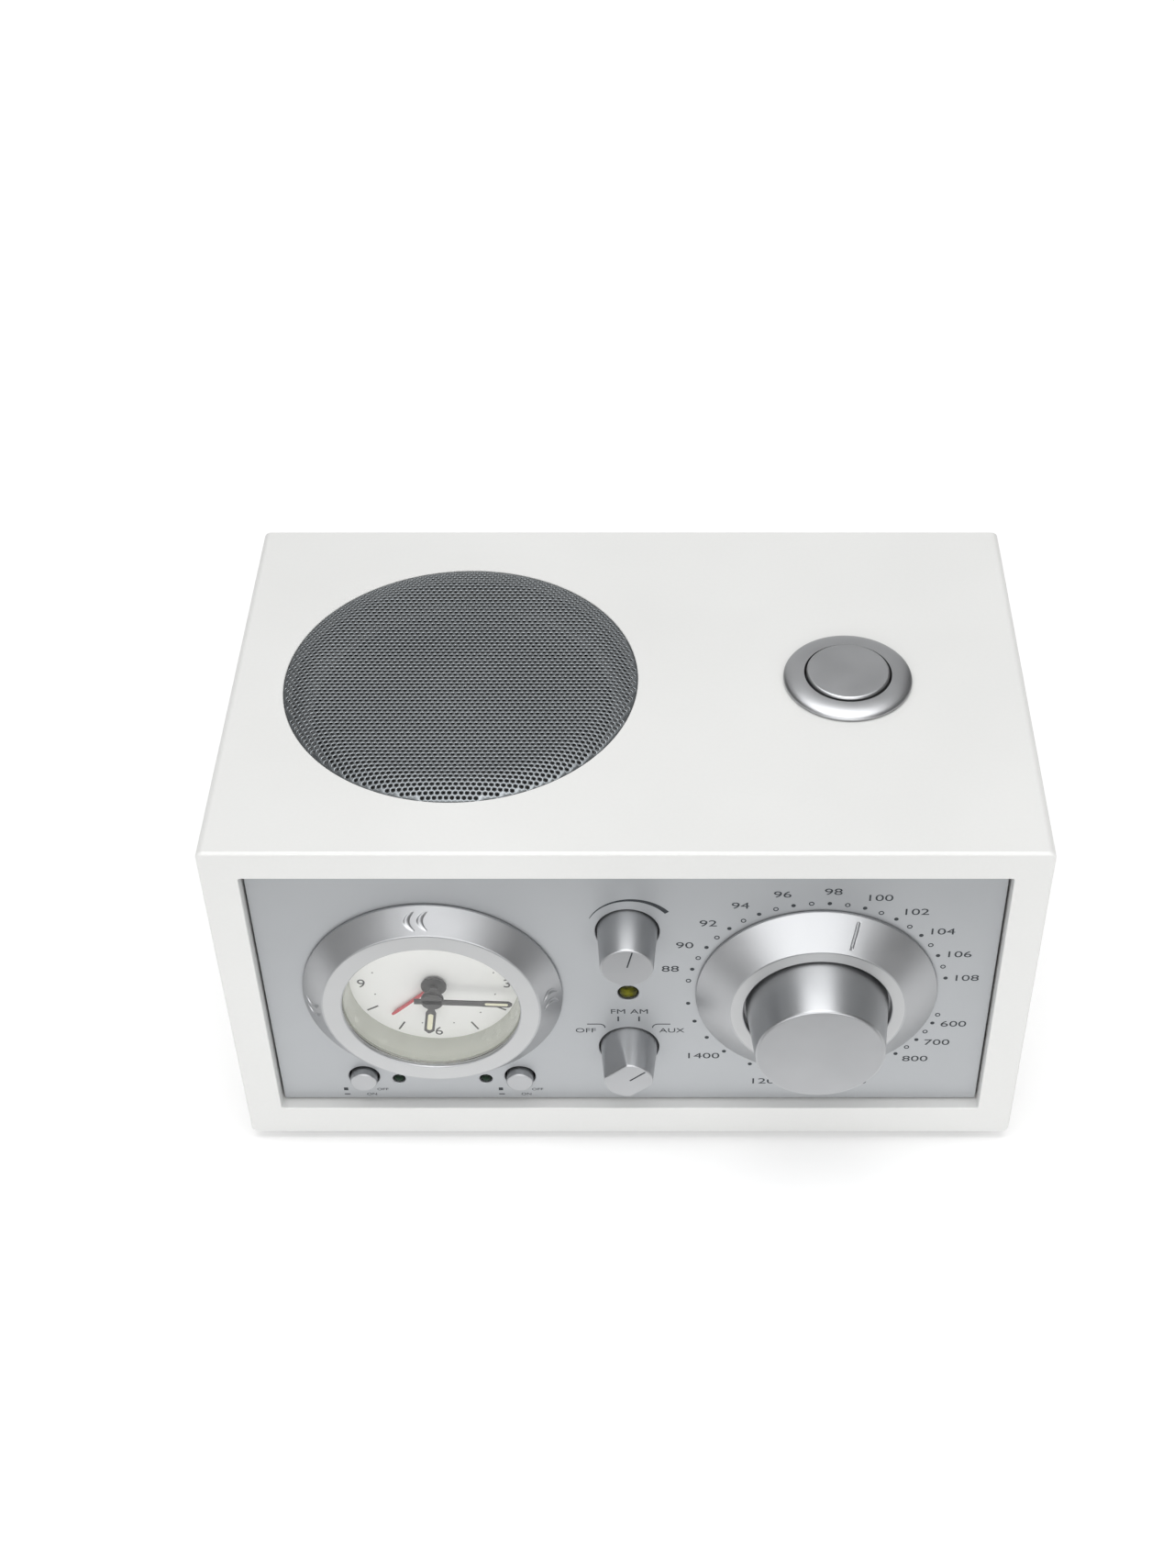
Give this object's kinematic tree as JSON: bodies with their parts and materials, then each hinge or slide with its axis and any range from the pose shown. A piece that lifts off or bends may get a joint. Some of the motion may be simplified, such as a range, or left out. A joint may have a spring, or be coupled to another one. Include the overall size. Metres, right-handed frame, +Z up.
{
  "type": "table clock radio",
  "caption": "Small table clock radio: white wooden cabinet, recessed silver panel with alarm clock, tuning dial and knobs, round top speaker grille and snooze button.",
  "frame": {"origin": "on the surface the feet stand on, under the middle of the object's box", "axes": "+X to the right seen from the front, +Y towards the back, +Z up"},
  "size_m": [0.2128, 0.1492, 0.1176],
  "materials": {
    "painted_wood": "satin white paint",
    "silver_panel": "satin silver",
    "satin_aluminium": "fine blasted satin",
    "perforated_steel": "satin perforated sheet",
    "steel": "plain",
    "brass": "plain",
    "white_nylon": "moulded",
    "clear_plastic": "clear",
    "dial_face": "printed white",
    "dark_hand": "dark grey",
    "red_hand": "red",
    "black_plastic": "moulded",
    "rubber": "matte",
    "paper_cone": "pulp paper",
    "ferrite": "matte",
    "circuit_board": "solder mask",
    "lamp_green": "unlit tinted lens",
    "lamp_olive": "unlit tinted lens"
  },
  "bodies": {
    "cabinet": {"cabinet": "painted_wood", "front_panel": "silver_panel", "front_chassis": "black_plastic", "back_panel": "black_plastic", "foot_front_left": "rubber", "foot_front_right": "rubber", "foot_back_left": "rubber", "foot_back_right": "rubber", "speaker_grille": "perforated_steel", "speaker_frame": "steel", "speaker_magnet": "ferrite", "speaker_surround": "rubber", "bass_port": "black_plastic", "snooze_ring": "satin_aluminium", "snooze_switch": "black_plastic", "snooze_spring": "steel", "clock_dial": "dial_face", "clock_movement": "black_plastic", "volume_potentiometer": "steel", "source_switch": "steel", "gearbox_plate": "steel", "tuning_capacitor": "white_nylon", "alarm_switch": "black_plastic", "sleep_switch": "black_plastic", "alarm_led": "lamp_green", "sleep_led": "lamp_green", "power_led": "lamp_olive", "main_board": "circuit_board", "power_transformer": "steel", "mains_inlet": "black_plastic", "aux_jack": "steel", "headphone_jack": "steel", "antenna_jack": "steel", "ferrite_rod": "ferrite", "back_screw_left_low": "steel", "back_screw_left_high": "steel", "back_screw_right_low": "steel", "back_screw_right_high": "steel"},
    "snooze_button": {"snooze_button": "satin_aluminium"},
    "clock_bezel": {"clock_bezel": "satin_aluminium", "clock_lens": "clear_plastic", "alarm_ring_gear": "white_nylon"},
    "alarm_pinion": {"alarm_pinion": "brass"},
    "hour_hand": {"hour_hand": "dark_hand"},
    "minute_hand": {"minute_hand": "dark_hand"},
    "alarm_hand": {"alarm_hand": "red_hand"},
    "volume_knob": {"volume_knob": "satin_aluminium", "volume_shaft": "steel"},
    "source_knob": {"source_knob": "satin_aluminium", "source_shaft": "steel"},
    "tuning_knob": {"tuning_knob": "satin_aluminium", "tuning_shaft": "steel"},
    "tuning_dial": {"dial_ring": "satin_aluminium", "dial_sleeve": "white_nylon"},
    "idler_gear": {"idler_gear": "brass"},
    "capacitor_rotor": {"capacitor_rotor": "brass"},
    "alarm_button": {"alarm_button": "satin_aluminium"},
    "sleep_button": {"sleep_button": "satin_aluminium"},
    "speaker_cone": {"speaker_cone": "paper_cone"}
  },
  "joints": [
    {"name": "tuning_turn", "type": "hinge", "parent": "cabinet", "child": "tuning_knob", "pos_m": [0.0498, -0.0566, 0.0588], "axis": [0, 1, 0], "range_deg": [-512.5, 337.5]},
    {"name": "dial_turn", "type": "hinge", "parent": "cabinet", "child": "tuning_dial", "pos_m": [0.0498, -0.0566, 0.0588], "axis": [0, 1, 0], "range_deg": [-102.5, 67.5]},
    {"name": "idler_turn", "type": "hinge", "parent": "cabinet", "child": "idler_gear", "pos_m": [0.0645, -0.0566, 0.0588], "axis": [0, 1, 0], "range_deg": [-135, 205]},
    {"name": "capacitor_turn", "type": "hinge", "parent": "cabinet", "child": "capacitor_rotor", "pos_m": [0.03594, -0.0566, 0.04494], "axis": [0, 1, 0], "range_deg": [-67.5, 102.5]},
    {"name": "volume_turn", "type": "hinge", "parent": "cabinet", "child": "volume_knob", "pos_m": [0, -0.0566, 0.0824], "axis": [0, 1, 0], "range_deg": [-163.5, 136.5]},
    {"name": "source_turn", "type": "hinge", "parent": "cabinet", "child": "source_knob", "pos_m": [0, -0.0566, 0.0363], "axis": [0, 1, 0], "range_deg": [-98, 0]},
    {"name": "bezel_turn", "type": "hinge", "parent": "cabinet", "child": "clock_bezel", "pos_m": [-0.0517, -0.0566, 0.0588], "axis": [0, 1, 0], "continuous": true},
    {"name": "alarm_pinion_turn", "type": "hinge", "parent": "cabinet", "child": "alarm_pinion", "pos_m": [-0.0517, -0.0566, 0.0378], "axis": [0, 1, 0], "continuous": true},
    {"name": "alarm_hand_turn", "type": "hinge", "parent": "cabinet", "child": "alarm_hand", "pos_m": [-0.0517, -0.0566, 0.0588], "axis": [0, 1, 0], "continuous": true},
    {"name": "minute_turn", "type": "hinge", "parent": "cabinet", "child": "minute_hand", "pos_m": [-0.0517, -0.0566, 0.0588], "axis": [0, 1, 0], "continuous": true},
    {"name": "hour_turn", "type": "hinge", "parent": "cabinet", "child": "hour_hand", "pos_m": [-0.0517, -0.0566, 0.0588], "axis": [0, 1, 0], "continuous": true},
    {"name": "alarm_press", "type": "slide", "parent": "cabinet", "child": "alarm_button", "axis": [0, 1, 0], "range_m": [0, 0.002], "stiffness_N_per_m": 150},
    {"name": "sleep_press", "type": "slide", "parent": "cabinet", "child": "sleep_button", "axis": [0, 1, 0], "range_m": [0, 0.002], "stiffness_N_per_m": 150},
    {"name": "snooze_press", "type": "slide", "parent": "cabinet", "child": "snooze_button", "axis": [0, 0, -1], "range_m": [0, 0.002], "stiffness_N_per_m": 400, "springref_m": -0.002, "deforming": ["snooze_spring"]},
    {"name": "cone_travel", "type": "slide", "parent": "cabinet", "child": "speaker_cone", "axis": [0, 0, 1], "range_m": [-0.0015, 0.0015], "stiffness_N_per_m": 1500, "deforming": ["speaker_surround"]}
  ],
  "couplings": [
    {"joint": "dial_turn", "follows": "tuning_turn", "ratio": 0.2},
    {"joint": "idler_turn", "follows": "tuning_turn", "ratio": -0.4},
    {"joint": "capacitor_turn", "follows": "tuning_turn", "ratio": -0.2},
    {"joint": "alarm_pinion_turn", "follows": "bezel_turn", "ratio": 4.5},
    {"joint": "alarm_hand_turn", "follows": "bezel_turn", "ratio": 1},
    {"joint": "hour_turn", "follows": "minute_turn", "ratio": 0.083333}
  ]
}
